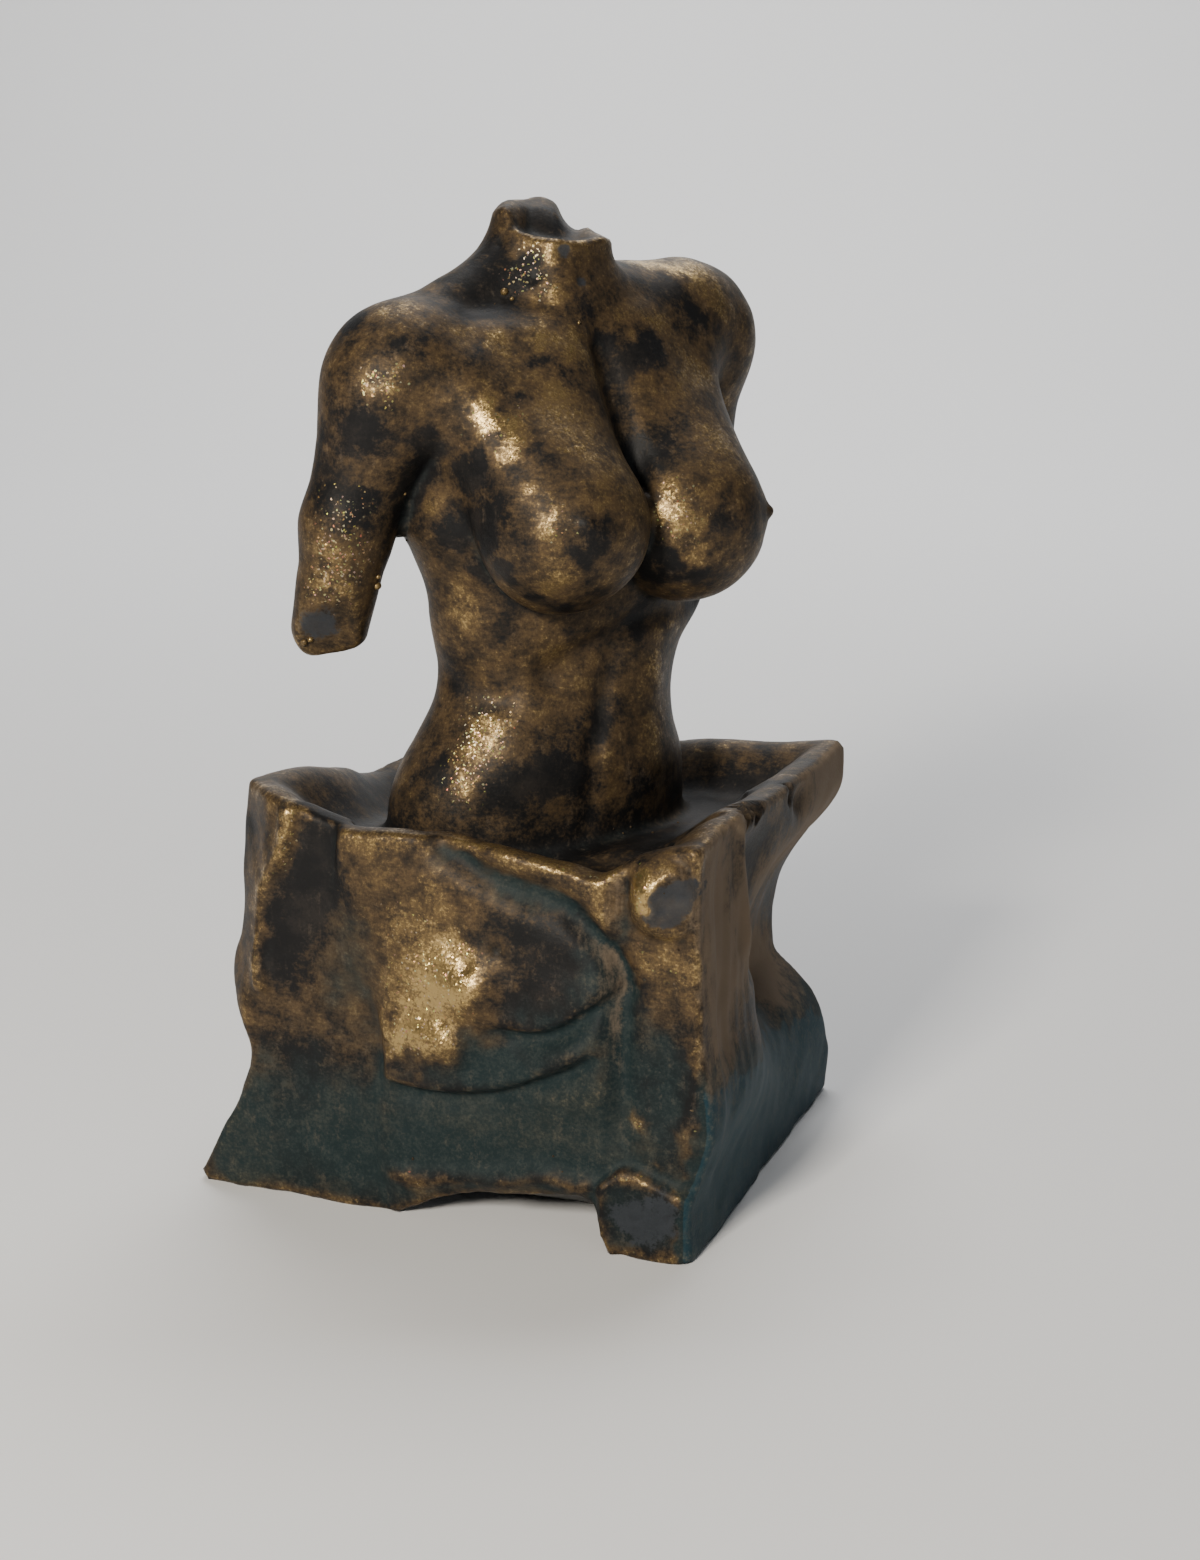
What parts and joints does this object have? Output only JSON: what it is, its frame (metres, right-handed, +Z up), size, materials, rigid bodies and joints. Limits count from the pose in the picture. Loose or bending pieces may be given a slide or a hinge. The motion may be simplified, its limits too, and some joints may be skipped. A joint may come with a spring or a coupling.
{
  "type": "muse bust",
  "caption": "Small cast figure: a headless female torso with cut-off arms rising out of a rough broken block, dark bronze patina rubbed with gold.",
  "frame": {"origin": "on the flat underside, below the middle of the block", "axes": "+Z up; the block's draped front faces -Y, with +X to the right of that front; the figure's chest faces about 59 degrees round from -Y towards +X"},
  "size_m": [0.1014, 0.1005, 0.1791],
  "materials": {
    "bronze_patina": "near-black bronze patina over a cast surface, rubbed with gold-bronze powder on everything raised, with blue-green verdigris low down and in the folds"
  },
  "bodies": {
    "root": {"muse_bust": "bronze_patina"}
  },
  "joints": []
}
